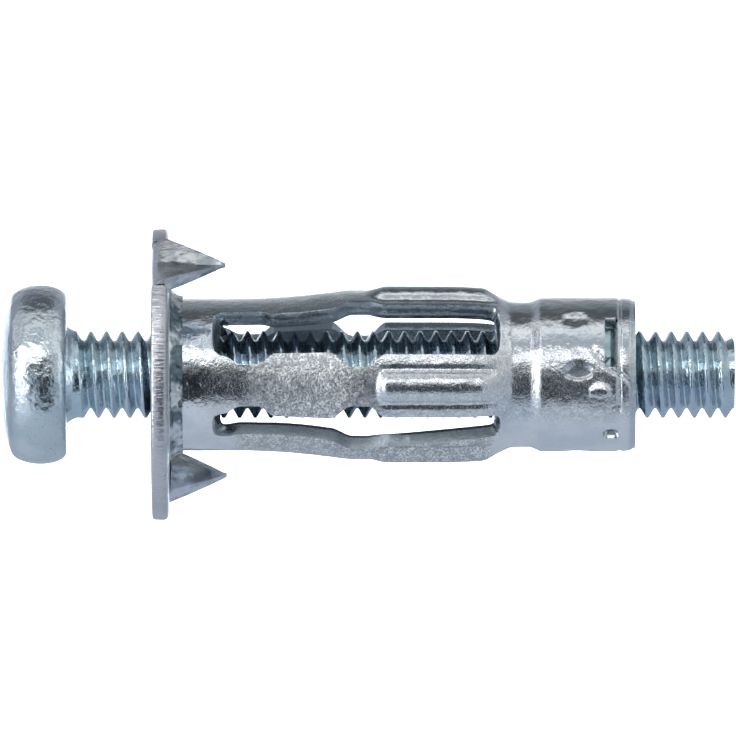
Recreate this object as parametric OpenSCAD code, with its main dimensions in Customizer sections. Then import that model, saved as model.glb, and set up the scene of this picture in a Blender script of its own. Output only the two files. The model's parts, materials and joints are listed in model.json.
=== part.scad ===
// Hollow-wall anchor: a slotted sheet-metal sleeve with four folding legs, a spiked flange,
// a nut held in the sleeve's tail and a pan-head machine screw.
// X runs along the screw, from its head to its tip. The origin is the centre of the flange's
// wall side, so the sleeve, which goes through the drilled hole, lies at positive X.

/* [Screw] */
// Nominal thread diameter over the crests
thread_d = 3.9; // [3.7:0.05:4]
// Thread pitch
pitch = 0.7; // [0.5:0.05:0.8]
// Depth of the thread, crest to root
thread_depth = 0.43; // [0.3:0.01:0.45]
// Screw length under the head
screw_length = 29.8; // [24:0.1:30]
// Plain neck under the head
neck_length = 0.9; // [0.7:0.1:1.5]
// Head diameter
head_d = 8; // [7.4:0.1:8]
// Head height
head_h = 3; // [2.6:0.1:3.1]
// Space under the head, filled by the thing that is fixed
fixture_space = 3.8; // [0.5:0.1:6]

/* [Flange] */
// Flange diameter
flange_d = 13; // [12:0.1:14]
// Flange thickness
flange_t = 0.76; // [0.6:0.02:0.9]
// Hole that the screw passes
flange_hole_d = 4.6; // [4.4:0.1:5]
// Length of the raised neck around the sleeve
burr_length = 0.62; // [0.4:0.02:0.8]
// Width of a spike where it leaves the flange
spike_w = 3; // [2.4:0.1:3.4]
// Reach of a spike past the flange
spike_length = 2.55; // [1.5:0.05:3]
// Distance from the axis to a spike's inner face
spike_offset = 5.79; // [5.6:0.01:5.9]
// Directions of the spikes around the axis
spike_angles = [52, 227];

/* [Sleeve] */
// Sheet thickness
sheet_t = 0.56; // [0.45:0.01:0.6]
// Radius of the collar, which fills the drilled hole's mouth
collar_r = 3.4; // [3.3:0.02:3.5]
// Outer radius at the legs' knees
knee_r = 3.8; // [3.7:0.02:3.85]
// Outer radius of the rear legs, without their ribs
rear_r = 3.72; // [3.6:0.02:3.74]
// Height of the ribs pressed into the rear legs
rib_h = 0.26; // [0.15:0.01:0.28]
// Width of a rib
rib_w = 1.3; // [1:0.05:1.5]
// Outer radius of the groove in front of the nut
groove_r = 3.24; // [3.1:0.02:3.3]
// Outer radius of the tail around the nut
tail_r = 3.44; // [3.36:0.02:3.5]
// Length of the sleeve past the flange
sleeve_length = 20.8; // [20:0.1:21.5]
// Length of a leg's link, measured along the screw
link_length = 5.55; // [5.4:0.05:5.6]
// Distance from the flange to the first fold
fold_1_x = 3; // [2.9:0.05:3.1]
// Radius of the first and last folds' axes
fold_r = 3.2; // [3.1:0.02:3.3]
// Leg directions around the axis: front, top, back, bottom
leg_angles = [-8, 92, 176, 268.5];
// Directions of the legs' ribs, which aren't all in the middle of their legs
rib_angles = [-8, 76, 176, 285];
// Half widths of the legs
leg_half_w = [1.5, 2.2, 2.15, 2.2];
// Half widths of the legs at their folds
waist_half_w = [0.82, 1.95, 1.6, 1.95];

/* [Nut] */
// Clearance around the screw's crests
nut_clearance = 0.07; // [0.04:0.01:0.1]
// Nut length
nut_length = 3.5; // [3:0.1:3.8]

/* [Motion] */
// Screw turns from the rest state to the folded state
turns = 9; // [6:1:9]
// Gap between the pieces on both sides of a fold
fold_gap = 0.06; // [0.04:0.01:0.1]

/* [Hidden] */
$fn = 96;

big = 30;
thread_r = thread_d / 2;
root_r = thread_r - thread_depth;
head_r = head_d / 2;
head_x = -flange_t - fixture_space;
tip_x = head_x + screw_length;

fold_2_x = fold_1_x + link_length;
fold_3_x = fold_2_x + link_length;
knee_pivot_r = knee_r - sheet_t / 2;
link = norm([link_length, knee_pivot_r - fold_r]);
rest_angle = atan2(knee_pivot_r - fold_r, link_length);
// The nut travels 2 * link * (cos(rest_angle) - cos(rest_angle + fold_angle)).
fold_angle = acos(cos(rest_angle) - turns * pitch / (2 * link)) - rest_angle;

slot_start = 2.2;
slot_end = 14.5;
groove_start = 15.3;
groove_end = 16.2;
seat_depth = 0.36;
lip_t = 0.4;
hairline = 0.04;
// Outline of the sleeve: distance along the axis and outer radius
sleeve_outline = [
    [-seat_depth, collar_r],
    [4, collar_r],
    [5.85, collar_r + 0.13],
    [7.2, knee_r - 0.11],
    [8.4, knee_r],
    [fold_2_x + 0.2, knee_r],
    [9.5, rear_r],
    [12.6, rear_r],
    [fold_3_x, rear_r - 0.1],
    [groove_start, groove_r],
    [groove_end, groove_r],
    [groove_end + 0.4, tail_r],
    [sleeve_length - 0.6, tail_r],
    [sleeve_length, tail_r - 0.14],
];
// Halfway lines between neighbouring legs, where the slots lie
slot_angles = [36, 134.5, 221.5, 316.5];
window_x = 19.7;
window_angle = 24;

// Lays a shape that was made around +Z along +X.
module along_x() rotate([0, 90, 0]) children();

// Turns a shape whose outward direction is +Z to a direction around the axis, counted from -Y to +Z.
module facing(angle) rotate([90 - angle, 0, 0]) children();

// Extrudes a side view, drawn as [x, outward], across the width of a leg.
module side_view() rotate([90, 0, 0]) linear_extrude(big, center = true) children();

// Extrudes a plan, drawn as [x, sideways], outward from the axis.
module plan() linear_extrude(big) children();

function between(x0, x1) =
    concat([x0], [for (p = sleeve_outline) if (p[0] > x0 && p[0] < x1) p[0]], [x1]);
function outer_at(x) = lookup(x, sleeve_outline);

// A stretch of the sheet-metal tube, before its slots are cut.
module tube(x0, x1) {
    xs = between(x0, x1);
    last = len(xs) - 1;
    along_x() rotate_extrude() polygon(concat(
        [for (x = xs) [outer_at(x), x]],
        [for (i = [last:-1:0]) [outer_at(xs[i]) - sheet_t, xs[i]]]
    ));
}

// The outline of a leg from its root to its tail, narrowed at the folds.
module leg_plan(k) {
    wide = leg_half_w[k];
    waist = waist_half_w[k];
    side = [
        [slot_start - 1, wide], [slot_start, wide], [fold_1_x, waist + 0.15], [fold_1_x + 0.75, waist],
        [fold_1_x + 1.5, wide], [fold_2_x - 1.35, wide], [fold_2_x - 0.5, waist], [fold_2_x + 0.4, waist],
        [fold_2_x + 1.15, wide], [slot_end + 1, wide],
    ];
    last = len(side) - 1;
    plan() polygon(concat(side, [for (i = [last:-1:0]) [side[i][0], -side[i][1]]]));
}

// Removes what lies past a fold's axis. On the outer side (out = 1) or inner side (out = -1) the cut
// leans back by `lean`, so that the two sides close on each other without overlapping.
module past_fold(x, r, ahead, out, lean) {
    g = fold_gap / 2;
    translate([x, 0, r]) mirror([ahead > 0 ? 0 : 1, 0, 0]) side_view() polygon([
        [-g, -out * big],
        [-g, 0],
        [-g - 2 * big * tan(lean), out * 2 * big],
        [big, out * 2 * big],
        [big, -out * big],
    ]);
}
outer_lean = fold_angle / 2 + 1;
inner_lean = fold_angle + 1.5;

// A wedge with its edge on the axis, which opens outward by `half` on both sides of a direction.
module wedge(mid, half, inset = 0) {
    facing(mid) rotate([90, 0, 90]) linear_extrude(big) polygon([
        [0, inset / sin(half)],
        [big * sin(half), big * cos(half)],
        [0, big],
        [-big * sin(half), big * cos(half)],
    ]);
}

// The wedge of the tube that belongs to one leg, between two slot lines.
module quarter(k) {
    from = slot_angles[(k + 3) % 4] - (k == 0 ? 360 : 0);
    to = slot_angles[k];
    wedge((from + to) / 2, (to - from) / 2, hairline / 2);
}

// The width of a leg: straight in plan at its folds, with radial sides where it is wide.
module leg_width(k) intersection() {
    facing(leg_angles[k]) leg_plan(k);
    wedge(leg_angles[k], asin(leg_half_w[k] / rear_r));
}

module screw() color("#8fa8b4") along_x() {
    // Crests and roots of the thread, as rings one pitch apart
    thread_start = head_x + neck_length;
    tip_chamfer = 0.55;
    rings = floor((tip_x - tip_chamfer - thread_start) / pitch);
    flat = pitch / 8;
    flank = (pitch - 2 * flat) / 2;
    run_out = 0.3;
    // Head outline: the curve over the bearing side, the crown's curve and the shallow dome
    under_r = 0.55;
    under_h = 1.15;
    crown_r = 0.7;
    crown_h = 1.38;
    crown_start = 1.17;
    crown_turn = 60;
    crease_r = head_r - crown_r * (1 - cos(crown_turn));
    dome_h = head_h - crown_start - crown_h * sin(crown_turn);
    difference() {
        union() {
            rotate_extrude() polygon(concat(
                [[0, head_x], [thread_r + 0.03, head_x], [thread_r, thread_start - run_out],
                    [root_r, thread_start]],
                [for (i = [0:rings - 1], p = [[root_r, flat / 2], [thread_r, flat / 2 + flank],
                    [thread_r, 1.5 * flat + flank], [root_r, pitch - flat / 2]])
                    [p[0], thread_start + i * pitch + p[1]]],
                [[root_r, tip_x - tip_chamfer], [root_r - tip_chamfer / 2, tip_x], [0, tip_x]]
            ));
            rotate_extrude() polygon(concat(
                [[0, head_x], [head_r - under_r, head_x]],
                [for (a = [15:15:75]) [head_r - under_r * (1 - sin(a)), head_x - under_h * (1 - cos(a))]],
                [[head_r, head_x - under_h], [head_r, head_x - crown_start]],
                [for (a = [15:15:crown_turn])
                    [head_r - crown_r * (1 - cos(a)), head_x - crown_start - crown_h * sin(a)]],
                [for (s = [0.9, 0.55, 0])
                    [crease_r * s, head_x - head_h + dome_h * (1 - pow(1 - s * s, 0.7))]]
            ));
        }
        drive_recess();
    }
}

// Combined slot and cross in the head.
module drive_recess() {
    wing_w = 0.9;
    cross_span = 4.3;
    cross_depth = 1.8;
    slot_span = 6.6;
    slot_depth = 1.1;
    top = head_x - head_h;
    for (a = [0, 90]) rotate(a)
        translate([-cross_span / 2, -wing_w / 2, top - 1]) cube([cross_span, wing_w, cross_depth + 1]);
    translate([-slot_span / 2, -wing_w / 2, top - 1]) cube([slot_span, wing_w, slot_depth + 1]);
}

module flange_plate() color("#aab0b6") {
    seat_r = collar_r + 0.02;
    burr_foot = 0.36;
    burr_edge = 0.12;
    notch_gap = 0.15;
    difference() {
        union() {
            along_x() translate([0, 0, -flange_t]) cylinder(h = flange_t, r = flange_d / 2);
            along_x() cylinder(h = burr_length, r1 = collar_r + burr_foot, r2 = collar_r + burr_edge);
        }
        along_x() translate([0, 0, -flange_t - 1]) cylinder(h = flange_t + 2, d = flange_hole_d);
        along_x() translate([0, 0, -seat_depth]) cylinder(h = big, r = seat_r);
        for (a = spike_angles) facing(a)
            translate([-big / 2, -spike_w / 2 - notch_gap, spike_offset])
                cube([big, spike_w + 2 * notch_gap, big]);
    }
    for (a = spike_angles) facing(a) spike();
}

// A pointed ear of the flange, bent back towards the wall.
module spike() {
    tip_w = 0.1;
    intersection() {
        translate([0, spike_w / 2, spike_offset]) rotate([90, 0, 0]) cylinder(h = spike_w, r = flange_t);
        translate([-flange_t, -big / 2, spike_offset]) cube([flange_t, big, flange_t]);
    }
    translate([0, 0, spike_offset]) linear_extrude(flange_t) polygon([
        [0, -spike_w / 2], [0, spike_w / 2], [spike_length, tip_w / 2], [spike_length, -tip_w / 2],
    ]);
}

module sleeve_collar() color("#c3c7cc") {
    tube(-seat_depth, slot_start);
    for (k = [0:3]) difference() {
        intersection() {
            tube(slot_start - 0.2, fold_1_x + 0.5);
            leg_width(k);
        }
        facing(leg_angles[k]) past_fold(fold_1_x, fold_r, 1, 1, outer_lean);
    }
}

module front_leg(k) color("#c3c7cc") difference() {
    intersection() {
        tube(fold_1_x - 0.5, fold_2_x + 0.5);
        leg_width(k);
    }
    facing(leg_angles[k]) past_fold(fold_1_x, fold_r, -1, 1, outer_lean);
    facing(leg_angles[k]) past_fold(fold_2_x, knee_pivot_r, 1, -1, inner_lean);
}

module rear_leg(k) color("#bcc1c8") difference() {
    union() {
        intersection() {
            tube(fold_2_x - 0.5, fold_3_x + 0.5);
            leg_width(k);
        }
        rib(k);
    }
    facing(leg_angles[k]) past_fold(fold_2_x, knee_pivot_r, -1, -1, inner_lean);
    facing(leg_angles[k]) past_fold(fold_3_x, fold_r, 1, 1, outer_lean);
}

// Stiffening rib of a rear leg, pressed outward, with a round front end.
module rib(k) {
    front = fold_2_x + 1.5;
    intersection() {
        along_x() difference() {
            cylinder(h = big, r = rear_r + rib_h);
            translate([0, 0, -1]) cylinder(h = big + 2, r = rear_r - sheet_t / 2);
        }
        facing(rib_angles[k]) plan() {
            translate([front, 0]) circle(d = rib_w);
            translate([front, -rib_w / 2]) square([fold_3_x + 0.1 - front, rib_w]);
        }
    }
}

module neck_segment(k) color("#c3c7cc") difference() {
    intersection() {
        tube(fold_3_x - 0.5, groove_end - (k == 0 ? 0 : hairline));
        quarter(k);
        union() {
            leg_width(k);
            translate([slot_end, -big, -big]) cube(2 * big);
        }
    }
    facing(leg_angles[k]) past_fold(fold_3_x, fold_r, -1, 1, outer_lean);
}

module sleeve_tail() color("#c3c7cc") {
    window_w = 2.4;
    window_l = 0.6;
    lip = 0.25;
    difference() {
        tube(groove_end, sleeve_length);
        facing(window_angle) translate([window_x - window_l / 2, -window_w / 2, 0])
            cube([window_l, window_w, big]);
    }
    // The tail's edge is turned in behind the nut.
    along_x() translate([0, 0, sleeve_length - lip_t]) difference() {
        cylinder(h = lip_t, r = tail_r - sheet_t + 0.02);
        translate([0, 0, -1]) cylinder(h = 2, r = tail_r - sheet_t - lip);
    }
}

module threaded_nut() color("#7f9a9c") {
    nut_r = tail_r - sheet_t;
    chamfer = 0.2;
    straight = nut_length - 2 * chamfer;
    along_x() translate([0, 0, sleeve_length - lip_t - nut_length]) difference() {
        union() {
            cylinder(h = chamfer, r1 = nut_r - chamfer, r2 = nut_r);
            translate([0, 0, chamfer]) cylinder(h = straight, r = nut_r);
            translate([0, 0, chamfer + straight]) cylinder(h = chamfer, r1 = nut_r, r2 = nut_r - chamfer);
        }
        translate([0, 0, -1]) cylinder(h = nut_length + 2, r = thread_r + nut_clearance);
    }
}

screw();
flange_plate();
sleeve_collar();
for (k = [0:3]) {
    front_leg(k);
    rear_leg(k);
    neck_segment(k);
}
sleeve_tail();
threaded_nut();
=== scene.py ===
"""A hollow-wall anchor: slotted sheet-metal sleeve, spiked flange, held nut and pan-head screw.

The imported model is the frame. X runs along the screw from its head to its tip, the origin is the
centre of the flange's wall side, and directions around the axis are counted from -Y towards +Z.
Sizes in the classes are millimetres, and meshes are metres.
"""

import json
import logging
import math
from collections.abc import Iterable
from dataclasses import dataclass, field
from enum import Enum
from functools import cache

import bmesh
import bpy
from mathutils import Matrix, Vector


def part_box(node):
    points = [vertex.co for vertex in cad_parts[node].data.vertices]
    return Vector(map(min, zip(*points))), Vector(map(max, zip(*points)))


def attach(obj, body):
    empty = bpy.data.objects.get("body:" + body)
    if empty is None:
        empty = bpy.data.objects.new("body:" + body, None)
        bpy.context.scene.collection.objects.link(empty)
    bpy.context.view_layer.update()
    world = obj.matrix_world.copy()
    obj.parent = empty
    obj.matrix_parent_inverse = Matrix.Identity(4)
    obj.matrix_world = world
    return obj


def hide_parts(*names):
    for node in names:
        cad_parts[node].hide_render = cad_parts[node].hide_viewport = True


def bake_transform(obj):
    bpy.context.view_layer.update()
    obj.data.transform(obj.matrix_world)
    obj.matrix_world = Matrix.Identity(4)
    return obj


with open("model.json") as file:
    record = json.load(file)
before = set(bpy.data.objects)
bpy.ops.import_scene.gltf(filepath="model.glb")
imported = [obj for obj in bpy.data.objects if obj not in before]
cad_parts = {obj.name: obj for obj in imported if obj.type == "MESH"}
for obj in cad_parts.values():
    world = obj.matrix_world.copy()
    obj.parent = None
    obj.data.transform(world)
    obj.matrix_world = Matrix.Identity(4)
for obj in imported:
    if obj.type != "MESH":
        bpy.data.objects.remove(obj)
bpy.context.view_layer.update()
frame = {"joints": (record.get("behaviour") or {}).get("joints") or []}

MM = 0.001
FULL_TURN = 2 * math.pi
WELD = 1e-7
log = logging.getLogger("wall_anchor")

Pair = tuple[float, float]
Triple = tuple[float, float, float]
Shape = bmesh.types.BMesh
Piece = bpy.types.Object
Socket = bpy.types.NodeSocket
Inputs = dict[str | int, object]


class MetalSlot(Enum):
    """The record's material slots."""

    SCREW = "blue_zinc_screw"
    FLANGE = "zinc_flange"
    SLEEVE = "zinc_sleeve"
    NUT = "zinc_nut"


class Shine(Enum):
    """How a plated surface was left, as its mean roughness."""

    BRIGHT = 0.10
    GLOSSY = 0.15
    SATIN = 0.27


# ---- shapes


def smooth_step(value: float, start: float, end: float) -> float:
    """Runs softly from 0 at start to 1 at end."""
    t = min(1.0, max(0.0, (value - start) / (end - start)))
    return t * t * (3 - 2 * t)


@dataclass(frozen=True)
class Curve:
    """A soft curve through a few (place, value) knots, which never overshoots them."""

    knots: tuple[Pair, ...]

    def slope(self, i: int) -> float:
        """Finds the tangent at a knot.

        Args:
            i: The knot's index.

        Returns:
            The slope, which is 0 at both ends and wherever the curve turns round.
        """
        if i in (0, len(self.knots) - 1):
            return 0.0
        (x0, v0), (x1, v1), (x2, v2) = self.knots[i - 1 : i + 2]
        before, after = (v1 - v0) / (x1 - x0), (v2 - v1) / (x2 - x1)
        if before * after <= 0:
            return 0.0
        return 2 * before * after / (before + after)

    def at(self, x: float) -> float:
        """Reads the curve.

        Args:
            x: The place, held to the knots' range.

        Returns:
            The value there.
        """
        if x <= self.knots[0][0]:
            return self.knots[0][1]
        for i in range(len(self.knots) - 1):
            (x0, v0), (x1, v1) = self.knots[i], self.knots[i + 1]
            if x <= x1:
                span, t = x1 - x0, (x - x0) / (x1 - x0)
                rise = v0 + (v1 - v0) * t * t * (3 - 2 * t)
                lean = self.slope(i) * t * (1 - t) ** 2 - self.slope(i + 1) * t * t * (1 - t)
                return rise + lean * span
        return self.knots[-1][1]


def wire(bm: Shape, spots: Iterable[Vector]) -> list[bmesh.types.BMVert | bmesh.types.BMEdge]:
    """Draws an open line through points, and returns its corners and edges."""
    points = [bm.verts.new(spot) for spot in spots]
    return points + [bm.edges.new(pair) for pair in zip(points, points[1:])]


def place(x: float, angle: float, r: float) -> Vector:
    """Turns a place along, around (in degrees) and off the axis into a point in metres."""
    a = math.radians(angle)
    return Vector((x, -r * math.cos(a), r * math.sin(a))) * MM


def spun(profile: Iterable[Pair], steps: int) -> Shape:
    """Turns a closed or pole-to-pole outline round the axis.

    Args:
        profile: The outline's (x, r) points, in millimetres.
        steps: How many faces go round.

    Returns:
        The turned mesh, welded and facing outwards.
    """
    bm = bmesh.new()
    bmesh.ops.spin(
        bm, geom=wire(bm, (place(x, 90, r) for x, r in profile)), cent=(0, 0, 0), axis=(1, 0, 0),
        dvec=(0, 0, 0), angle=FULL_TURN, steps=steps, use_merge=True,
    )
    return welded(bm)


def welded(bm: Shape) -> Shape:
    """Merges doubles, drops empty faces and turns the faces outwards.

    Args:
        bm: The mesh to clean, changed in place.

    Returns:
        The same mesh.
    """
    bmesh.ops.remove_doubles(bm, verts=bm.verts[:], dist=WELD)
    bmesh.ops.dissolve_degenerate(bm, edges=bm.edges[:], dist=WELD)
    bmesh.ops.recalc_face_normals(bm, faces=bm.faces[:])
    return bm


def turned_to(bm: Shape, angle: float) -> None:
    """Turns a mesh whose outward direction is +Z to a direction around the axis."""
    turn = Matrix.Rotation(math.radians(90 - angle), 3, "X")
    bmesh.ops.rotate(bm, cent=(0, 0, 0), matrix=turn, verts=bm.verts[:])


def box_mesh(low: Triple, high: Triple) -> Shape:
    """Makes a block.

    Args:
        low: Its lowest corner, in millimetres.
        high: Its highest corner, in millimetres.

    Returns:
        The block's mesh.
    """
    bm = bmesh.new()
    bmesh.ops.create_cube(bm, size=1)
    size, middle = Vector(high) - Vector(low), (Vector(high) + Vector(low)) / 2
    bmesh.ops.scale(bm, vec=size * MM, verts=bm.verts[:])
    bmesh.ops.translate(bm, vec=middle * MM, verts=bm.verts[:])
    return bm


def linked(name: str, data: bpy.types.ID) -> Piece:
    """Puts an object with some data at the scene's origin."""
    made = bpy.data.objects.new(name, data)
    bpy.context.scene.collection.objects.link(made)
    return made


def as_object(name: str, bm: Shape, sharp_deg: float | None = 40) -> Piece:
    """Puts a mesh into the scene, smooth apart from its sharp edges.

    Args:
        name: The object's name.
        bm: The mesh, freed here.
        sharp_deg: Edges that turn by more than this stay sharp; None smooths them all.

    Returns:
        The new object, at the origin.
    """
    mesh = bpy.data.meshes.new(name)
    for face in bm.faces:
        face.smooth = True
    bm.to_mesh(mesh)
    bm.free()
    if sharp_deg is not None:
        mesh.set_sharp_from_angle(angle=math.radians(sharp_deg))
    return linked(name, mesh)


def shaded(piece: Piece, sharp_deg: float) -> None:
    """Smooths a piece, apart from the edges that turn by more than some degrees."""
    piece.data.set_sharp_from_angle(angle=math.radians(sharp_deg))
    piece.data.polygons.foreach_set("use_smooth", [True] * len(piece.data.polygons))


def settled(piece: Piece) -> Piece:
    """Applies an object's modifiers.

    Args:
        piece: The object, whose mesh is replaced.

    Returns:
        The same object, without modifiers.
    """
    bpy.context.view_layer.update()
    mesh = bpy.data.meshes.new_from_object(piece.evaluated_get(bpy.context.evaluated_depsgraph_get()))
    mesh.name = piece.name
    piece.modifiers.clear()
    piece.data = mesh
    return piece


def combined(piece: Piece, tools: list[Piece], how: str) -> Piece:
    """Joins other solids to a piece or cuts them out of it.

    Args:
        piece: The solid that is kept.
        tools: The solids that shape it, removed afterwards.
        how: UNION or DIFFERENCE.

    Returns:
        The shaped piece.
    """
    for tool in tools:
        work = piece.modifiers.new("shape", "BOOLEAN")
        work.operation, work.solver, work.object = how, "EXACT", tool
    settled(piece)
    for tool in tools:
        bpy.data.objects.remove(tool)
    return piece


def eased(piece: Piece, width: float, sharp_deg: float) -> Piece:
    """Rounds a piece's sharp edges slightly.

    Args:
        piece: The solid.
        width: The rounding's width, in millimetres.
        sharp_deg: Only edges that turn by more than this are rounded.

    Returns:
        The same piece, with the rounding applied.
    """
    bevel = piece.modifiers.new("ease", "BEVEL")
    bevel.width, bevel.segments, bevel.limit_method = width * MM, 2, "ANGLE"
    bevel.angle_limit, bevel.use_clamp_overlap = math.radians(sharp_deg), True
    return settled(piece)


# ---- finishes


@dataclass
class Nodes:
    """Short calls for a node tree, with places in metres and scales per metre."""

    tree: bpy.types.NodeTree

    def put(self, node: bpy.types.Node, inputs: Inputs) -> None:
        """Fills a node's inputs.

        Args:
            node: The node.
            inputs: A socket to link, a number or a colour for each input's name or index.
        """
        for key, value in inputs.items():
            if isinstance(value, Socket):
                self.tree.links.new(value, node.inputs[key])
            else:
                node.inputs[key].default_value = (*value, 1.0) if isinstance(value, tuple) else value

    def add(self, kind: str, inputs: Inputs | None = None, **values: object) -> bpy.types.Node:
        """Adds a node.

        Args:
            kind: The node type, without its "ShaderNode" start.
            inputs: What its inputs get.
            **values: Properties of the node to set.

        Returns:
            The new node.
        """
        node = self.tree.nodes.new("ShaderNode" + kind)
        for name, value in values.items():
            setattr(node, name, value)
        self.put(node, inputs or {})
        return node

    def split(self, where: Socket) -> bpy.types.bpy_prop_collection:
        """Splits a place into its X, Y and Z."""
        return self.add("SeparateXYZ", {"Vector": where}).outputs

    def noise(self, where: Socket, scale: float, detail: float, rough: float) -> Socket:
        """Adds noise with a scale, a number of octaves and the strength of the finer ones."""
        inputs = {"Vector": where, "Scale": scale, "Detail": detail, "Roughness": rough}
        return self.add("TexNoise", inputs, noise_dimensions="3D").outputs["Fac"]

    def spread(self, value: Socket, low: float, high: float) -> Socket:
        """Maps a value softly from the range between low and high to 0 to 1."""
        inputs = {"Value": value, "From Min": low, "From Max": high}
        return self.add("MapRange", inputs, interpolation_type="SMOOTHSTEP").outputs["Result"]

    def math(self, how: str, a: Socket, b: Socket | float = 0.0) -> Socket:
        """Adds a sum of a socket and a second socket or number."""
        return self.add("Math", {0: a, 1: b}, operation=how).outputs[0]

    def times(self, a: Socket, b: Socket | float) -> Socket:
        """Multiplies a socket by a second socket or number."""
        return self.math("MULTIPLY", a, b)

    def blend(self, amount: Socket, a: Socket | Triple, b: Socket | Triple) -> Socket:
        """Mixes two colours, each a socket or red, green and blue."""
        return self.add("Mix", {"Factor": amount, 6: a, 7: b}, data_type="RGBA").outputs[2]


@cache
def plating_group() -> bpy.types.NodeTree:
    """Builds the effect of a zinc coat: cloudy colour, cloudy gloss and a pebbled surface.

    Returns:
        The node group.
    """
    tree = bpy.data.node_groups.new("zinc_plating", "ShaderNodeTree")
    for label, kind, value in (
        ("Place", "Vector", None), ("Base", "Color", (0.7, 0.7, 0.7, 1)),
        ("Cloud", "Color", (0.6, 0.6, 0.6, 1)), ("Tint", "Color", (0.5, 0.6, 0.7, 1)),
        ("Roughness", "Float", 0.2), ("Frost", "Float", 0.0),
    ):
        socket = tree.interface.new_socket(label, in_out="INPUT", socket_type="NodeSocket" + kind)
        if value is not None:
            socket.default_value = value
    for label, kind in (("Color", "Color"), ("Roughness", "Float"), ("Height", "Float")):
        tree.interface.new_socket(label, in_out="OUTPUT", socket_type="NodeSocket" + kind)
    g, src = Nodes(tree), tree.nodes.new("NodeGroupInput").outputs
    clouds = g.spread(g.noise(src["Place"], 520, 3, 0.55), 0.38, 0.62)
    tints = g.spread(g.noise(src["Place"], 260, 2, 0.5), 0.5, 0.68)
    pebbles = g.noise(src["Place"], 4200, 3, 0.6)
    waves = g.noise(src["Place"], 1300, 2, 0.5)
    specks = g.spread(g.noise(src["Place"], 9000, 2, 0.7), 0.56, 0.7)
    grain = g.spread(g.noise(src["Place"], 11000, 2, 0.6), 0.36, 0.64)
    colour = g.blend(clouds, src["Base"], src["Cloud"])
    colour = g.blend(g.times(tints, 0.7), colour, src["Tint"])
    colour = g.blend(g.times(specks, 0.2), colour, (0.25, 0.26, 0.28))
    mottles = g.spread(g.noise(src["Place"], 3000, 2, 0.6), 0.44, 0.6)
    frosted = g.blend(grain, (0.28, 0.29, 0.31), (1.0, 1.0, 0.98))
    frosted = g.blend(g.times(mottles, 0.6), frosted, (0.24, 0.25, 0.27))
    colour = g.blend(g.times(src["Frost"], 0.85), colour, frosted)
    gloss = g.math("ADD", src["Roughness"], g.times(clouds, 0.05))
    gloss = g.math("ADD", gloss, g.times(src["Frost"], 0.25))
    gloss = g.math("ADD", gloss, g.times(specks, 0.12))
    rough = g.times(grain, g.math("ADD", g.times(src["Frost"], 0.12), 0.02))
    rough = g.math("ADD", rough, g.times(pebbles, 0.3))
    height = g.math("ADD", rough, waves)
    g.put(tree.nodes.new("NodeGroupOutput"), {"Color": colour, "Roughness": gloss, "Height": height})
    return tree


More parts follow.
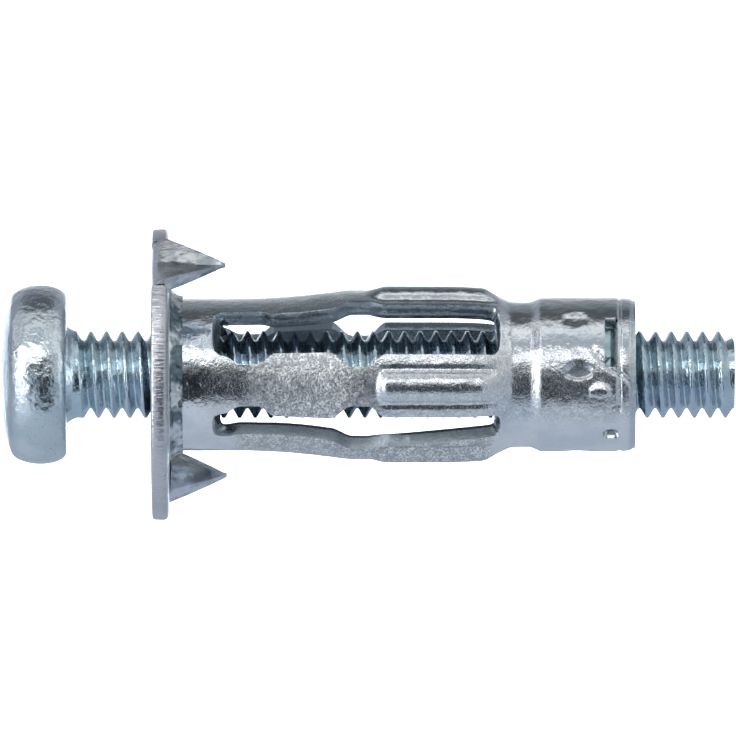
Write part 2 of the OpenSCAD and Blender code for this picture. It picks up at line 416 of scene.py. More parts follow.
@dataclass(frozen=True)
class ZincFinish:
    """A zinc-plated metal, with its colours and its gloss."""

    name: str
    base: Triple
    cloud: Triple
    tint: Triple
    shine: Shine
    bump_mm: float
    on_sheet: bool = False
    sheared_from: float = 0.0
    thread_r: float = 0.0

    @cache
    def material(self) -> bpy.types.Material:
        """Builds the material, once.

        Returns:
            The finished material.
        """
        made = bpy.data.materials.new(self.name)
        made.use_nodes = True
        n = Nodes(made.node_tree)
        coat = n.add("Group", {
            "Base": self.base, "Cloud": self.cloud, "Tint": self.tint, "Roughness": self.shine.value,
        }, node_tree=plating_group())
        colour, roughness = coat.outputs["Color"], coat.outputs["Roughness"]
        if self.on_sheet:
            where = n.add("Attribute", attribute_name="sheet_place").outputs["Vector"]
            n.put(coat, {"Frost": n.add("Attribute", attribute_name="frost").outputs["Fac"]})
            # Painted shade: cut faces, the sheet's inner side, its dents and the tail's end lip are
            # darkened towards dark teal, and their gloss is made rougher.
            cut = n.add("Attribute", attribute_name="painted_shade").outputs["Fac"]
            colour = n.blend(n.times(cut, 0.8), colour, (0.36, 0.42, 0.46))
            roughness = n.math("ADD", roughness, n.times(cut, 0.12))
        else:
            where = n.add("TexCoord").outputs["Object"]
        n.put(coat, {"Place": where})
        if self.thread_r:
            deep = n.spread(self.radius(n, where), (self.thread_r + 0.1) * MM, self.thread_r * MM)
            colour = n.blend(n.times(deep, 0.35), colour, (0.38, 0.58, 0.68))
        height = coat.outputs["Height"]
        if self.sheared_from:
            colour, height = self.worked_and_shaded(n, where, colour, height)
        bump = n.add("Bump", {"Strength": 1.0, "Distance": self.bump_mm * MM, "Height": height})
        n.put(made.node_tree.nodes["Principled BSDF"], {
            "Metallic": 1.0, "Base Color": colour, "Roughness": roughness,
            "Normal": bump.outputs["Normal"],
        })
        return made

    def radius(self, n: Nodes, where: Socket) -> Socket:
        """Measures the distance from the axis in metres."""
        y, z = (n.math("POWER", n.split(where)[axis], 2.0) for axis in "YZ")
        return n.math("SQRT", n.math("ADD", y, z))

    def worked_and_shaded(self, n: Nodes, where: Socket, colour: Socket,
               height: Socket) -> tuple[Socket, Socket]:
        """Marks a pressed disc's sheared rim, and gives its drawn neck and its spikes lumps and patchy
        painted shade.

        Args:
            n: The material's nodes.
            where: The place in metres.
            colour: The plain coat's colour.
            height: The plain coat's height.

        Returns:
            The colour, with the rim's own tone and the painted shade, and the height.
        """
        split = n.split(where)
        turn = n.times(n.math("ARCTAN2", split["Z"], split["Y"]), self.sheared_from * MM)
        row = n.add("CombineXYZ", {"X": turn, "Y": n.times(split["X"], 0.12)})
        r = self.radius(n, where)
        rim = n.spread(r, (self.sheared_from - 0.12) * MM, (self.sheared_from - 0.03) * MM)
        marks = n.spread(n.noise(row.outputs["Vector"], 7000, 2, 0.6), 0.35, 0.65)
        # Where painted shade goes: the concave neck beside the sleeve, and the bent spikes with, at half
        # strength, the plate's wall side outside 4.8 mm.
        raised = n.spread(split["X"], 0.02 * MM, 0.14 * MM)
        neck = n.times(n.spread(r, 4.3 * MM, 4.0 * MM), raised)
        bent = n.spread(split["X"], -0.5 * MM, 0.5 * MM)
        spikes = n.times(n.spread(r, 4.5 * MM, 4.8 * MM), bent)
        lumps = n.noise(where, 1100, 2, 0.6)
        shade_patches = n.spread(lumps, 0.42, 0.58)
        # The rim gets the sheared edge's own tone; the neck and the spikes get patchy painted shade,
        # near-black in the neck.
        for mask, amount, tone in ((rim, 0.7, (0.56, 0.54, 0.58)), (neck, 0.9, (0.10, 0.15, 0.17)),
                                   (spikes, 0.7, (0.34, 0.38, 0.40))):
            patchy = mask if mask is rim else n.times(mask, shade_patches)
            colour = n.blend(n.times(patchy, amount), colour, tone)
        for mask, pattern, amount in ((rim, marks, 0.3), (neck, lumps, 8.0), (spikes, lumps, 2.5)):
            rise = n.times(n.times(mask, pattern), amount)
            height = n.math("ADD", height, rise)
        return colour, height


ZINCS = {
    MetalSlot.SCREW: ZincFinish(
        "blue_zinc", (0.66, 0.72, 0.76), (0.53, 0.62, 0.67), (0.52, 0.55, 0.68), Shine.GLOSSY, 0.10,
        thread_r=2.1,
    ),
    MetalSlot.FLANGE: ZincFinish(
        "flange_zinc", (0.74, 0.76, 0.78), (0.62, 0.65, 0.69), (0.62, 0.66, 0.74), Shine.SATIN, 0.05,
        sheared_from=6.5,
    ),
    MetalSlot.SLEEVE: ZincFinish(
        "sleeve_zinc", (0.80, 0.82, 0.84), (0.70, 0.73, 0.77), (0.66, 0.72, 0.80), Shine.BRIGHT, 0.055,
        on_sheet=True,
    ),
    MetalSlot.NUT: ZincFinish(
        "nut_zinc", (0.50, 0.66, 0.66), (0.40, 0.56, 0.58), (0.44, 0.60, 0.56), Shine.SATIN, 0.03,
    ),
}


def dressed(piece: Piece, slot: MetalSlot) -> None:
    """Gives a piece the material made for one of the record's slots, and reports it.

    Args:
        piece: The piece.
        slot: The record's slot.
    """
    piece.data.materials.clear()
    piece.data.materials.append(ZINCS[slot].material())
    log.info("%s: %d faces", piece.name, len(piece.data.polygons))


# ---- screw


@dataclass
class Screw:
    """The pan-head machine screw with its right-hand thread."""

    pitch: float = 0.7
    crest_r: float = 1.95
    root_r: float = 1.52
    crest_at: float = -3.5
    neck_end: float = -4.12
    steps: int = 72
    head_r: float = 4.0
    head_steps: int = 144
    drive_w: float = 0.9
    cross_span: float = 4.3
    cross_depth: float = 1.8
    slot_span: float = 6.6
    slot_depth: float = 1.1
    length: float = 29.8
    head_h: float = 3.0
    bearing: float = field(init=False)
    tip: float = field(init=False)

    def __post_init__(self) -> None:
        """Takes the screw's ends from the frame."""
        self.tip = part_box("screw")[1].x / MM
        self.bearing = self.tip - self.length

    def thread_radius(self, x: float, r: float) -> float:
        """Fades the thread out at the neck and chamfers the tip.

        Args:
            x: Distance along the axis.
            r: The full thread's radius there.

        Returns:
            The finished radius.
        """
        fade = smooth_step(x, self.neck_end - 0.1, self.neck_end + 0.35)
        r = self.crest_r + 0.02 + (r - self.crest_r - 0.02) * fade
        fillet = min(0.4, max(0.0, self.bearing + 0.4 - x))
        r += 0.24 * (fillet / 0.4) ** 2
        chamfer = self.root_r + 0.02 + max(0.0, self.tip - x) * 1.1
        return min(r, chamfer)

    def shaft(self) -> Shape:
        """Winds the thread's outline up the shaft as a helix.

        Returns:
            The closed shaft.
        """
        bm = bmesh.new()
        half, crest_w, root_w = self.pitch / 2, 0.065, 0.06
        first = self.crest_at - 3 * self.pitch
        outline = [
            (-half, self.root_r), (-half + root_w, self.root_r + 0.02), (-crest_w, self.crest_r - 0.02),
            (0, self.crest_r), (crest_w, self.crest_r - 0.02), (half - root_w, self.root_r + 0.02),
            (half, self.root_r),
        ]
        line = wire(bm, (place(first + x, 90, r) for x, r in outline))
        turns = math.ceil((self.tip - first) / self.pitch) + 1
        bmesh.ops.spin(
            bm, geom=line, cent=(0, 0, 0), axis=(1, 0, 0), dvec=(self.pitch / self.steps * MM, 0, 0),
            angle=FULL_TURN * turns, steps=self.steps * turns, use_merge=False,
        )
        bmesh.ops.remove_doubles(bm, verts=bm.verts[:], dist=2e-6)
        for x, side in ((self.bearing - 0.4, -1), (self.tip, 1)):
            cut = bmesh.ops.bisect_plane(
                bm, geom=bm.verts[:] + bm.edges[:] + bm.faces[:], plane_co=(x * MM, 0, 0),
                plane_no=(side, 0, 0), clear_outer=True, dist=1e-9,
            )
            rim = [e for e in cut["geom_cut"] if isinstance(e, bmesh.types.BMEdge)]
            bmesh.ops.holes_fill(bm, edges=rim, sides=0)
        for vert in bm.verts:
            around = math.hypot(vert.co.y, vert.co.z)
            if around > WELD:
                scale = self.thread_radius(vert.co.x / MM, around / MM) * MM / around
                vert.co.y *= scale
                vert.co.z *= scale
        bmesh.ops.recalc_face_normals(bm, faces=bm.faces[:])
        return bm

    def head(self) -> Shape:
        """Turns the pan head.

        Returns:
            The closed head, without its recess.
        """
        b, r = self.bearing, self.head_r
        under = [(b - 1.15 * (1 - math.cos(a)), r - 0.55 + 0.55 * math.sin(a))
                 for a in (math.radians(d) for d in range(0, 91, 10))]
        over = [(b - 1.17 - 1.38 * math.sin(a), r - 0.7 + 0.7 * math.cos(a))
                for a in (math.radians(d) for d in range(0, 61, 6))]
        edge_x, edge_r = over[-1]
        apex = b - self.head_h
        dome = [(edge_x - (edge_x - apex) * (1 - s * s) ** 0.68, edge_r * s)
                for s in (0.99, 0.97, 0.93, 0.87, 0.8, 0.65, 0.45, 0.25, 0.1, 0.0)]
        return spun([(b, 0.0), (b, 1.0), (b, 2.0), (b, r - 0.75), *under, *over, *dome], self.head_steps)

    def recess(self) -> list[Piece]:
        """Makes the shapes that the drive recess takes out of the head.

        Returns:
            The cross's two wings and the slot.
        """
        w, top = self.drive_w / 2, self.bearing - self.head_h
        tools = []
        for turn, span, depth in (
            (0, self.cross_span, self.cross_depth), (90, self.cross_span, self.cross_depth),
            (90, self.slot_span, self.slot_depth),
        ):
            block = box_mesh((top - 1, -span / 2, -w), (top + depth, span / 2, w))
            for vert in block.verts:
                if vert.co.x > (top + 0.1) * MM:
                    vert.co.y *= 0.72 if span == self.cross_span else 1.0
                    vert.co.z *= 0.8
            bmesh.ops.rotate(block, cent=(0, 0, 0), matrix=Matrix.Rotation(math.radians(turn), 3, "X"),
                             verts=block.verts[:])
            tools.append(as_object("drive_tool", block))
        return tools

    def build(self) -> None:
        """Makes the screw and dresses it."""
        head = combined(as_object("machine_screw", self.head()), self.recess(), "DIFFERENCE")
        eased(head, 0.07, 35)
        piece = combined(head, [as_object("shaft", self.shaft())], "UNION")
        shaded(piece, 50)
        dressed(piece, MetalSlot.SCREW)
        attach(piece, "screw")
        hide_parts("screw")


# ---- flange


@dataclass
class Flange:
    """The round plate with its raised neck and two spikes."""

    r: float = 6.5
    t: float = 0.76
    hole_r: float = 2.3
    seat_r: float = 3.42
    seat_depth: float = 0.36
    burr_length: float = 0.62
    steps: int = 180
    spike_w: float = 3.0
    spike_length: float = 2.55
    bend_at: float = 5.72
    bend_r: float = 0.83
    gutter: float = 0.36
    spike_angles: Pair = (52.0, 227.0)

    def plate(self) -> Shape:
        """Turns the plate, its seat for the sleeve and its concave neck.

        Returns:
            The closed ring.
        """
        neck = [(self.burr_length * s, self.seat_r + 0.10 + 0.42 * (1 - s) ** 2.2)
                for s in (1.0, 0.85, 0.7, 0.55, 0.4, 0.27, 0.15, 0.06, 0.0)]
        rim = [(-0.03, self.r - 0.16), (-0.10, self.r - 0.05), (-0.2, self.r),
               (-self.t + 0.14, self.r - 0.01), (-self.t + 0.05, self.r - 0.05), (-self.t, self.r - 0.17)]
        ring = [
            (-self.t, self.hole_r + 0.1), (-self.t + 0.1, self.hole_r), (-self.seat_depth, self.hole_r),
            (-self.seat_depth, self.seat_r), (self.burr_length - 0.02, self.seat_r), *neck,
            (0.0, 4.4), (0.0, 5.3), (0.0, self.r - 0.3), *rim,
            (-self.t, 5.3), (-self.t, 4.2), (-self.t, 3.2),
        ]
        return spun([*ring, ring[0]], self.steps)

    def spike(self, angle: float) -> Piece:
        """Bends a pointed ear of the plate back to the wall side.

        Args:
            angle: The spike's direction around the axis.

        Returns:
            The closed spike.
        """
        bm = bmesh.new()
        bmesh.ops.create_grid(bm, x_segments=40, y_segments=14, size=0.5)
        bmesh.ops.solidify(bm, geom=bm.faces[:], thickness=1.0)
        for vert in bm.verts:
            vert.co = self.spike_point(vert.co.x + 0.5, vert.co.y * 2, min(1.0, abs(vert.co.z)))
        turned_to(bm, angle)
        return eased(as_object("spike", welded(bm), None), 0.05, 50)

    def spike_point(self, along: float, side: float, depth: float) -> Vector:
        """Places a point of the spike that points outward along +Z.

        Args:
            along: The way from the plate (0) to the spike's point (1).
            side: The place across the spike, from -1 to 1.
            depth: 0 on the outer side and 1 on the inner side.

        Returns:
            The point in metres.
        """
        flat, arc = 0.25, self.bend_r * math.pi / 2
        reach = self.spike_length - (self.bend_r - self.t)
        s = along * (flat + arc + reach)
        taper = max(0.0, (s - flat - arc * 0.75) / (reach + arc * 0.25))
        width = self.spike_w / 2 * (1 - taper) ** 0.95 + 0.03
        turn = min(max(s - flat, 0.0), arc) / self.bend_r
        thick = self.t * (1 - 0.84 * taper ** 1.4)
        inset = (self.t - thick) * 0.45 + depth * thick
        r = self.bend_r - inset
        out = self.bend_at + min(s - flat, 0.0) + r * math.sin(turn)
        x = -self.t + self.bend_r - r * math.cos(turn) + max(s - flat - arc, 0.0)
        hollow = smooth_step(s, flat + arc * 0.3, flat + arc) * (1 - taper * 0.7) * (1 - abs(side))
        out -= self.gutter * hollow
        return Vector((x, side * width, out)) * MM

    def build(self) -> None:
        """Makes the flange plate and dresses it."""
        half, ears = self.spike_w / 2 + 0.12, []
        piece = as_object("flange_plate_finished", self.plate(), 30)
        notches = []
        for angle in self.spike_angles:
            block = box_mesh((-2, -half, self.bend_at - 0.1), (2, half, 9))
            turned_to(block, angle)
            notches.append(as_object("notch", block))
            ears.append(self.spike(angle))
        combined(piece, notches, "DIFFERENCE")
        combined(piece, ears, "UNION")
        shaded(piece, 32)
        dressed(piece, MetalSlot.FLANGE)
        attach(piece, "collar")
        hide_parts("flange_plate")


# ---- sleeve


@dataclass(frozen=True)
class Leg:
    """One leg of the sleeve, with half widths in degrees around the axis."""

    number: int
    angle: float
    front: float
    rear: float
    waist_1: float
    waist_2: float
    end: float
    rib_at: float
    rib_start: float
    rib_ramp: float
    tail_body: str

    def half(self, x: float) -> float:
        """Finds the leg's half width in degrees at a distance along the axis."""
        return Curve((
            (1.6, self.front), (2.5, self.front * 0.92), (3.2, self.waist_1), (4.0, self.waist_1),
            (4.75, self.front), (7.15, self.rear + (self.front - self.rear) * 0.8), (8.15, self.waist_2),
            (8.85, self.waist_2), (9.7, self.rear), (14.4, self.end), (15.0, self.end),
        )).at(x)


@dataclass(frozen=True)
class Dent:
    """A punched mark in the tail, with a soft side and a sheared side."""

    x: float
    angle: float
    length: float
    width: float
    depth: float

    def drop(self, x: float, angle: float, r: float) -> float:
        """Finds how far the sheet is pressed in.

        Args:
            x: Distance along the axis.
            angle: Direction around the axis.
            r: The sheet's radius there.

        Returns:
            The depth in millimetres.
        """
        u = (x - self.x) / (self.length / 2)
        v = math.radians(angle - self.angle) * r / (self.width / 2)
        if v < -1 or v > 2.2 or abs(u) > 1:
            return 0.0
        edge = math.sqrt(1 - u * u)
        sheared = smooth_step(v, -edge, -edge + 0.28)
        soft = (1 - smooth_step(v, 0.2 * edge, 2.2 * edge)) * smooth_step(edge, 0, 0.5)
        return self.depth * sheared * soft


@dataclass
class Sleeve:
    """The rolled sheet-metal sleeve, cut into pieces, of which the collar and the tail ride with their
    bodies.
    """

    t: float = 0.56
    slot_start: float = 2.3
    slot_end: float = 14.5
    front_cut: float = 5.9
    rear_cut: float = 11.6
    rib_w: float = 1.38
    rib_h: float = 0.31
    rib_end: float = 14.95
    moat_w: float = 0.44
    leg_columns: int = 48
    gap_columns: int = 12
    rib_r: float = 3.75
    moat_depth: float = 0.16
    slot_power: float = 2.6
    slot_bulge: Pair = (0.36, 0.28)
    torn: float = 0.34
    tail_r: float = 3.44
    seam_depth: float = 0.1
    seam_path: Curve = Curve(((18.6, 22.0), (19.4, 8.0), (19.9, 2.0), (20.4, -3.0), (20.8, -12.0)))
    folds: tuple[tuple[str, str, float], ...] = (
        ("root", "root", 0.5), ("knee", "knee", 0.5), ("foot", "tail", 0.4),
    )
    window: tuple[float, float, float, float] = (19.42, 20.0, 6.0, 46.0)
    rows: tuple[tuple[float, int], ...] = (
        (-0.36, 0), (0.65, 9), (2.3, 15), (4.6, 22), (5.9, 12), (8.0, 18), (9.2, 14), (11.6, 24),
        (14.5, 30), (16.9, 26), (19.42, 28), (20.0, 8), (20.8, 16),
    )
    outline: Curve = Curve((
        (-0.36, 3.4), (0.65, 3.4), (3.2, 3.4), (4.4, 3.43), (5.85, 3.53), (7.2, 3.68), (8.3, 3.79),
        (8.75, 3.79), (9.5, 3.73), (12.6, 3.72), (13.9, 3.66), (14.6, 3.54), (15.35, 3.25), (16.05, 3.24),
        (16.3, 3.31), (16.62, 3.44), (19.95, 3.44), (20.1, 3.37), (20.22, 3.42), (20.5, 3.40), (20.8, 3.28),
    ))
    legs: tuple[Leg, ...] = (
        Leg(1, -8.4, 24.2, 22.5, 16.2, 13.6, 22.5, -8.8, 9.15, 0.55, "nut_end"),
        Leg(2, 92.0, 41.0, 35.5, 37.0, 32.5, 35.5, 76.0, 8.6, 1.1, "leg_2_tail"),
        Leg(3, 176.0, 37.0, 35.0, 28.2, 23.6, 35.0, 176.0, 8.6, 1.1, "leg_3_tail"),
        Leg(4, 268.5, 40.5, 31.5, 40.0, 30.5, 41.0, 285.0, 8.6, 1.1, "leg_4_tail"),
    )
    dents: tuple[Dent, ...] = (
        Dent(18.25, 1.0, 1.25, 0.62, 0.17), Dent(18.1, 46.0, 1.1, 0.55, 0.12),
        Dent(19.95, -27.0, 0.4, 0.25, 0.16), Dent(19.7, -52.0, 0.7, 0.4, 0.4),
        Dent(19.2, -13.0, 0.95, 0.5, -0.15), Dent(18.25, 181.0, 1.25, 0.62, 0.17),
        Dent(18.2, 268.0, 1.25, 0.62, 0.15),
    )

    def stations(self) -> list[float]:
        """Lists the rows' places along the axis, from the flange to the tail."""
        spans = ((a, b - a, n) for (a, _), (b, n) in zip(self.rows, self.rows[1:]))
        return [self.rows[0][0]] + [a + step * (i + 1) / n for a, step, n in spans for i in range(n)]

    @property
    def per_leg(self) -> int:
        """Counts the columns of faces from one leg to the next."""
        return self.leg_columns + self.gap_columns

    def direction(self, x: float, column: int) -> float:
        """Finds a column's direction around the axis.

        Args:
            x: Distance along the axis.
            column: The column line's index, 0 at the first leg's lower edge.

        Returns:
            The direction in degrees.
        """
        k, i = divmod(column, self.per_leg)
        turn, k = divmod(k, len(self.legs))
        leg, after = self.legs[k], self.legs[(k + 1) % len(self.legs)]
        if i <= self.leg_columns:
            return turn * 360 + leg.angle + leg.half(x) * (2 * i / self.leg_columns - 1)
        low = leg.angle + leg.half(x)
        high = after.angle - after.half(x) + (360 if k == len(self.legs) - 1 else 0)
        return turn * 360 + low + (high - low) * (i - self.leg_columns) / self.gap_columns

    def slot_round(self, x: float, column: int) -> float:
        """Finds how far a slot's rounded end pushes a point along the axis.

        Args:
            x: Distance along the axis.
            column: The column line's index.

        Returns:
            The shift in millimetres.
        """
        i = column % self.per_leg
        if i <= self.leg_columns:
            return 0.0
        v = 2 * (i - self.leg_columns) / self.gap_columns - 1
        bulge = (1 - abs(v) ** self.slot_power) ** (1 / self.slot_power)
        front = smooth_step(x, 0.7, self.slot_start) if x <= self.slot_start else 0.0
        rear = 1 - smooth_step(x, self.slot_end, self.slot_end + 1.4) if x >= self.slot_end else 0.0
        return bulge * (self.slot_bulge[1] * rear - self.slot_bulge[0] * front)

    def rib(self, x: float, angle: float) -> float:
        """Finds the height of the pressed ribs.

        Args:
            x: Distance along the axis.
            angle: Direction around the axis.

        Returns:
            The height over the plain sheet.
        """
        best = 0.0
        for leg in self.legs:
            off = (angle - leg.rib_at + 180) % 360 - 180
            side = abs(math.radians(off)) * self.rib_r / (self.rib_w / 2)
            if side > 1 + self.moat_w:
                continue
            moat = -self.moat_depth * math.sin(math.pi * (side - 1) / self.moat_w)
            across = (1 - side ** 2) ** 0.8 if side < 1 else moat
            start = leg.rib_start + 0.65 * self.rib_w * (1 - math.sqrt(1 - min(1.0, side ** 2) / 4))
            along = smooth_step(x, start, start + leg.rib_ramp) * smooth_step(self.rib_end - x, 0, 1.0)
            best += self.rib_h * across * along
        return best

    def seam(self, x: float, angle: float) -> float:
        """Finds how deep the line lies where the rolled sheet's edges meet in the tail."""
        off = abs(math.radians(angle - self.seam_path.at(x))) * self.tail_r
        return self.seam_depth * (1 - smooth_step(off, 0.04, 0.2)) * smooth_step(x, 18.6, 19.1)

    def radius(self, x: float, angle: float) -> float:
        """Finds the sheet's outer radius.

        Args:
            x: Distance along the axis.
            angle: Direction around the axis, in degrees.

        Returns:
            The radius in millimetres.
        """
        near = (angle + 180) % 360 - 180
        r = self.outline.at(x) + self.rib(x, near)
        if x > 16.5:
            r -= sum(dent.drop(x, a, r) for dent in self.dents for a in (near, near + 360))
            r -= self.seam(x, near)
        return r

    def zone(self, x: float, column: float) -> int:
        """Numbers a face's piece: 0 the collar, 1 the tail, and the legs' three stretches from 2 up."""
        stretch = 2 + 3 * int(column // self.per_leg) + (x > self.front_cut) + (x > self.rear_cut)
        return stretch if self.slot_start <= x <= self.slot_end else int(x > self.slot_end)

    def sheet(self) -> Piece:
        """Rolls the slotted sheet, gives it its thickness and eases its cut edges.

        Returns:
            The whole sleeve in one mesh, with a piece number on each face.
        """
        rows, columns = self.stations(), len(self.legs) * self.per_leg
        last = len(rows) - 1
        bm = bmesh.new()
        bmesh.ops.create_grid(bm, x_segments=last, y_segments=columns, size=0.5)
        zones = bm.faces.layers.int.new("zone")
        index = {v: (round((v.co.x + 0.5) * last), round((v.co.y + 0.5) * columns)) for v in bm.verts}
        holes = []
        for face in bm.faces:
            row = sum(index[v][0] for v in face.verts) / 4
            column = sum(index[v][1] for v in face.verts) / 4
            x = (rows[int(row)] + rows[int(row) + 1]) / 2
            face[zones] = self.zone(x, column)
            in_gap = column % self.per_leg > self.leg_columns
            x0, x1, low, high = self.window
            in_window = x0 < x < x1 and low < self.direction(x, int(column)) + 0.5 < high
            if in_window or (in_gap and self.slot_start < x < self.slot_end):
                holes.append(face)
        bmesh.ops.delete(bm, geom=holes, context="FACES")
        for vert in bm.verts:
            row, column = index[vert]
            x = rows[row]
            angle = self.direction(x, column)
            x += self.slot_round(x, column)
            vert.co = place(x, angle, self.radius(x, angle))
        bmesh.ops.remove_doubles(bm, verts=bm.verts[:], dist=WELD)
        bmesh.ops.recalc_face_normals(bm, faces=bm.faces[:])
        probe = next(iter(bm.faces))
        middle = probe.calc_center_median()
        if probe.normal.dot(Vector((0, middle.y, middle.z))) < 0:
            bmesh.ops.reverse_faces(bm, faces=bm.faces[:])
        piece = as_object("sleeve_sheet", bm, None)
        piece.data.materials.append(bpy.data.materials.new("sheet_side"))
        piece.data.materials.append(bpy.data.materials.new("sheet_rim"))
        wall = piece.modifiers.new("thickness", "SOLIDIFY")
        wall.thickness, wall.offset, wall.material_offset_rim = self.t * MM, -1, 1
        self.tear(settled(piece).data)
        return eased(piece, 0.05, 55)

    def tear(self, mesh: bpy.types.Mesh) -> None:
        """Slants the slots' front ends, where the punch tore the sheet.

        Args:
            mesh: The sheet with its thickness.
        """
        shifts = {}
        for polygon in mesh.polygons:
            if polygon.material_index == 1 and 1.4 < polygon.center.x / MM < self.slot_start + 0.2:
                for i in polygon.vertices:
                    spot = mesh.vertices[i].co / MM
                    if math.hypot(spot.y, spot.z) < self.outline.at(spot.x) - self.t / 2:
                        shifts[i] = max(shifts.get(i, 0.0), polygon.normal.x)
        for i, push in shifts.items():
            mesh.vertices[i].co.x += self.torn * max(0.0, push) * MM

    def marked(self, piece: Piece) -> None:
        """Writes the sheet's own place, its frosted stretch and the painted shade on its cut faces, inner
        side, dents and end lip to the mesh.

        Args:
            piece: The whole sleeve.
        """
        mesh = piece.data
        for name, kind, domain in (("sheet_place", "FLOAT_VECTOR", "POINT"), ("frost", "FLOAT", "POINT"),
                                   ("painted_shade", "FLOAT", "FACE")):
            mesh.attributes.new(name, kind, domain)
        spots, frost, cut = (mesh.attributes[name] for name in ("sheet_place", "frost", "painted_shade"))
        for i, vert in enumerate(mesh.vertices):
            spots.data[i].vector = vert.co
            x, angle = vert.co.x / MM, math.degrees(math.atan2(vert.co.z, -vert.co.y))
            strip = 1 - smooth_step(abs(angle - self.legs[0].angle), 24, 34)
            near = 0.3 * smooth_step(x, 0.8, 2.5) + 0.7 * smooth_step(x, 2.9, 4.6)
            low = smooth_step(-angle, 38, 50) * smooth_step(x, 2.6, 3.4) * (1 - smooth_step(x, 13.9, 14.8))
            high = smooth_step(angle, 48, 60) * smooth_step(x, 3.0, 5.0) * (1 - smooth_step(x, 7.0, 9.0))
            near *= 1 - smooth_step(x, 8.2, 9.6) * 0.6
            frost.data[i].value = max(strip * near, 0.85 * low, 0.4 * high)
        # Painted shade per face: sideways cut faces get all of it and end-on cut faces a fifth; the tail's
        # end lip gets half, and faces sunk below the outer surface (the inner side and the dents) get up to
        # 0.7.
        for i, polygon in enumerate(mesh.polygons):
            side_on = 1 - 0.8 * smooth_step(abs(polygon.normal.x), 0.7, 0.95)
            x, r = polygon.center.x / MM, math.hypot(polygon.center.y, polygon.center.z) / MM
            lip = smooth_step(x, 20.45, 20.6) * 0.5
            hollow = 0.7 * smooth_step(self.outline.at(x) - r, 0.1, 0.25)
            cut.data[i].value = side_on if polygon.material_index == 1 else max(lip, hollow)
            polygon.material_index = 0

    def piece(self, whole: Piece, zone: int, name: str) -> Piece:
        """Takes one piece out of the sleeve and closes its ends.

        The normals along its ends come from the whole sleeve, so that the joint to the next piece
        doesn't show.

        Args:
            whole: The whole sleeve.
            zone: The piece's number.
            name: The piece's name.

        Returns:
            The closed piece.
        """
        bm = bmesh.new()
        bm.from_mesh(whole.data)
        zones = bm.faces.layers.int["zone"]
        ends = {v.index: v.normal.copy() for v in bm.verts if len({f[zones] for f in v.link_faces}) > 1}
        keep, flat = bm.verts.layers.int.new("end_id"), bm.faces.layers.int.new("cap")
        zones = bm.faces.layers.int["zone"]
        for vert in bm.verts:
            vert[keep] = vert.index + 1 if vert.index in ends else 0
        bmesh.ops.delete(bm, geom=[f for f in bm.faces if f[zones] != zone], context="FACES")
        caps = bmesh.ops.holes_fill(bm, edges=[e for e in bm.edges if e.is_boundary], sides=0)["faces"]
        for face in caps:
            face.smooth = False
            face[flat] = 1
        bmesh.ops.recalc_face_normals(bm, faces=caps)
        mesh = bpy.data.meshes.new(name)
        normals = []
        for face in bm.faces:
            for loop in face.loops:
                known = ends.get(loop.vert[keep] - 1)
                normals.append((0, 0, 0) if known is None or face[flat] else known[:])
        bm.to_mesh(mesh)
        bm.free()
        mesh.normals_split_custom_set(normals)
        return linked(name, mesh)

    def build(self) -> None:
        """Makes the sleeve's pieces and dresses them."""
        whole = self.sheet()
        self.marked(whole)
        collar = self.piece(whole, 0, "sleeve_collar_finished")
        tail = self.piece(whole, 1, "sleeve_tail_finished")
        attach(collar, "collar")
        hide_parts("sleeve_collar")
        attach(tail, "nut_end")
        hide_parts("sleeve_tail", *[f"neck_segment_{leg.number}" for leg in self.legs])
        made, fold_at = [collar, tail], {j["name"]: j["pos_m"][0] for j in frame["joints"]}
        for leg in self.legs:
            n = leg.number
            for i, (part, fold, half) in enumerate(self.folds):
                piece = self.piece(whole, 3 * n - 1 + i, f"leg_{n}_{part}")
                x, half = fold_at[f"leg_{n}_{fold}_fold"], half * MM
                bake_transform(piece)
                made.append(piece)
            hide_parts(f"front_leg_{n}")
            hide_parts(f"rear_leg_{n}")
        for piece in made:
            dressed(piece, MetalSlot.SLEEVE)
        bpy.data.objects.remove(whole)


# ---- nut


@dataclass
class Nut:
    """The round nut that is held in the sleeve's tail."""

    r: float = 2.87
    bore_r: float = 2.0
    chamfer: float = 0.18
    steps: int = 96

    def build(self) -> None:
        """Makes the nut and dresses it."""
        low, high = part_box("threaded_nut")
        x0, x1, c = low.x / MM, high.x / MM, self.chamfer
        ring = [
            (x0, self.bore_r + c), (x0 + c, self.bore_r), (x1 - c, self.bore_r), (x1, self.bore_r + c),
            (x1, self.r - c), (x1 - c, self.r), (x0 + c, self.r), (x0, self.r - c), (x0, self.bore_r + c),
        ]
        piece = eased(as_object("nut_finished", spun(ring, self.steps), 30), 0.04, 30)
        piece.data.set_sharp_from_angle(angle=math.radians(30))
        dressed(piece, MetalSlot.NUT)
        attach(piece, "nut_end")
        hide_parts("threaded_nut")


# ---- studio


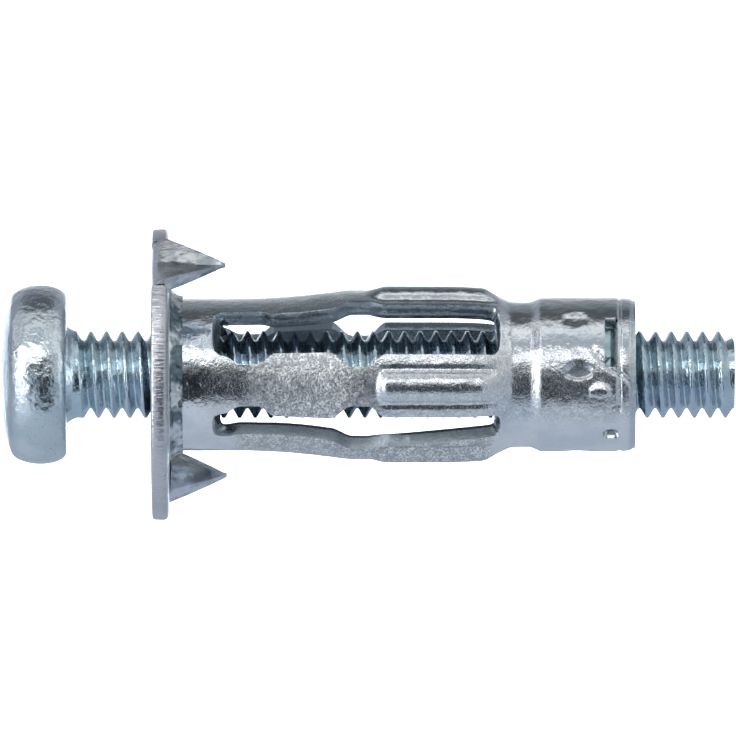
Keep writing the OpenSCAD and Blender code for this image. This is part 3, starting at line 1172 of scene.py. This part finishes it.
@dataclass
class Studio:
    """The camera, the pale floor with its curved backdrop and the soft light around them."""

    look_at: Pair = (8.88, 0.29)
    view_width: float = 32.86
    distance: float = 900.0
    sensor: float = 36.0
    floor_z: float = -40.0
    floor_half: float = 1500.0
    floor_back: float = 1150.0
    bend_r: float = 150.0
    backdrop_top: float = 260.0
    haze: Triple = (0.93, 0.97, 1.0)
    shade: Triple = (0.86, 0.98, 1.06)
    sky: tuple[Pair, ...] = (
        (0, 0.04), (8, 0.10), (16, 0.58), (40, 0.50), (55, 0.44), (67, 1.1), (79, 1.1), (91, 0.08),
        (108, 0.09), (126, 0.25), (145, 0.38), (160, 0.8),
    )

    def camera(self) -> None:
        """Sets the camera level, square to the screw and far away with a long lens."""
        data = bpy.data.cameras.new("camera")
        data.sensor_width = self.sensor
        data.lens = self.sensor * self.distance / self.view_width
        data.clip_start, data.clip_end = 0.005, 20.0
        eye = linked("camera", data)
        eye.location = Vector((self.look_at[0], -self.distance, self.look_at[1])) * MM
        eye.rotation_euler = (math.radians(90), 0, 0)
        bpy.context.scene.camera = eye

    def sheet(self, name: str, outline: list[Pair], sides: Pair,
              material: bpy.types.Material) -> Piece:
        """Draws a (y, z) outline out sideways into a stage sheet.

        Args:
            name: The sheet's name.
            outline: The outline's points, in millimetres.
            sides: The sheet's ends along X.
            material: Its material.

        Returns:
            The sheet, marked as part of the stage.
        """
        bm = bmesh.new()
        line = wire(bm, (Vector((sides[0], y, z)) * MM for y, z in outline))
        side = bmesh.ops.extrude_edge_only(bm, edges=line[len(outline):])["geom"]
        far = [v for v in side if isinstance(v, bmesh.types.BMVert)]
        bmesh.ops.translate(bm, vec=((sides[1] - sides[0]) * MM, 0, 0), verts=far)
        bmesh.ops.recalc_face_normals(bm, faces=bm.faces[:])
        made = as_object(name, bm, None)
        made.data.materials.append(material)
        return made

    def matte(self, name: str, colour: Triple) -> bpy.types.Material:
        """Makes a plain matte material for the stage.

        Args:
            name: The material's name.
            colour: Its red, green and blue.

        Returns:
            The material.
        """
        made = bpy.data.materials.new(name)
        made.use_nodes = True
        Nodes(made.node_tree).put(made.node_tree.nodes["Principled BSDF"], {
            "Base Color": colour, "Roughness": 0.9, "Specular IOR Level": 0.1,
        })
        return made

    def floor(self) -> None:
        """Lays a pale sheet under the anchor and curves it up far behind."""
        z, y, r = self.floor_z, self.floor_back, self.bend_r
        bend = [(y + r * math.sin(a), z + r * (1 - math.cos(a)))
                for a in (math.radians(d) for d in range(0, 91, 9))]
        outline = [(-self.floor_half, z), *bend, (y + r, self.backdrop_top)]
        sides = (-self.floor_half, self.floor_half)
        self.sheet("backdrop", outline, sides, self.matte("pale_paper", (0.70, 0.76, 0.84)))

    def flags(self) -> None:
        """Stands dark cards low in front and before the collar, seen only in reflections."""
        z, black = self.floor_z + 0.5, self.matte("black_card", (0.035, 0.038, 0.046))
        for name, outline, sides in (
            ("low_card", [(-46, z), (-90, z), (-110, z + 10), (-120, 2.0)], (-16, 42)),
            ("collar_card", [(-27, -12), (-27, 14)], (1.2, 4.3)),
        ):
            card = self.sheet(name, outline, sides, black)
            card.visible_camera = card.visible_shadow = card.visible_diffuse = False

    def room(self) -> None:
        """Surrounds the anchor with a studio's bright and dark bands, which the metal reflects.

        The bands follow the height over the front horizon, from 0 in front over 90 overhead to 180
        behind. Seen directly, the room is as pale as the floor.
        """
        world = bpy.data.worlds.new("studio")
        world.use_nodes = True
        n = Nodes(world.node_tree)
        way = n.add("TexCoord").outputs["Generated"]
        split = n.split(way)
        height = n.math("ARCTAN2", split["Z"], n.times(split["Y"], -1.0))
        wander = n.math("SUBTRACT", n.noise(way, 3.5, 2, 0.5), 0.5)
        height = n.math("ADD", n.math("DIVIDE", height, math.pi), n.times(wander, 0.12))
        ramp = n.add("ValToRGB", {"Fac": height})
        ramp.color_ramp.interpolation = "B_SPLINE"
        stops = ramp.color_ramp.elements
        while len(stops) < len(self.sky):
            stops.new(0.5)
        for stop, (degrees, level) in zip(stops, self.sky):
            stop.position = degrees / 180
            stop.color = (*(level * tone for tone in (self.haze if level > 0.5 else self.shade)), 1)
        aside = n.spread(n.math("ABSOLUTE", split["X"]), 0.22, 0.5)
        patches = n.spread(n.noise(way, 4.5, 3, 0.6), 0.42, 0.56)
        patches = n.blend(patches, (0.14, 0.15, 0.17), (1.0, 1.05, 1.08))
        patches = n.blend(n.spread(split["Y"], -0.1, 0.35), patches, (0.34, 0.36, 0.42))
        around = n.blend(aside, ramp.outputs["Color"], patches)
        direct = n.add("LightPath").outputs["Is Camera Ray"]
        n.put(world.node_tree.nodes["Background"], {"Color": n.blend(direct, around, self.haze)})
        bpy.context.scene.world = world

    def lights(self) -> None:
        """Sets the soft light: boxes that the metal reflects, and washes over floor and backdrop."""
        # Name, place, width and height, power, target, and whether reflections show it.
        for name, at, size, watts, towards, seen in (
            ("front_box", (-60, -260, 142), (320, 78), 0.15, (8, 0, 0), True),
            ("collar_box", (1.7, -27, 27), (2.6, 26), 0.00015, (1.7, 0, 0), True),
            ("low_side_box", (-62, -56, 0), (46, 92), 0.028, (8, 0, 0), True),
            ("floor_wash", (8, 60, 420), (500, 300), 0.185, (8, 60, -17), False),
            ("back_wash", (8, 850, 420), (900, 200), 9.0, (8, 1210, 0), False),
        ):
            data = bpy.data.lights.new(name, "AREA")
            data.shape, data.energy = "ELLIPSE", watts
            data.size, data.size_y = (side * MM for side in size)
            lamp = linked(name, data)
            lamp.location = Vector(at) * MM
            lamp.rotation_euler = (Vector(towards) - Vector(at)).to_track_quat("-Z", "Y").to_euler()
            lamp.visible_glossy, lamp.visible_camera = seen, False

    def build(self) -> None:
        """Sets up the floor, the room and the lights."""
        bpy.context.scene.view_settings.view_transform = "Standard"
        self.floor()
        self.flags()
        self.room()
        self.lights()
        log.info("studio: floor, room, lights")


def main() -> None:
    """Builds the anchor around the frame, in order, and sets the studio."""
    logging.basicConfig(level=logging.INFO, format="%(asctime)s %(name)s: %(message)s")
    studio = Studio()
    studio.camera()
    for maker in (Screw(), Flange(), Sleeve(), Nut(), studio):
        maker.build()


if __name__ == "__main__":
    main()
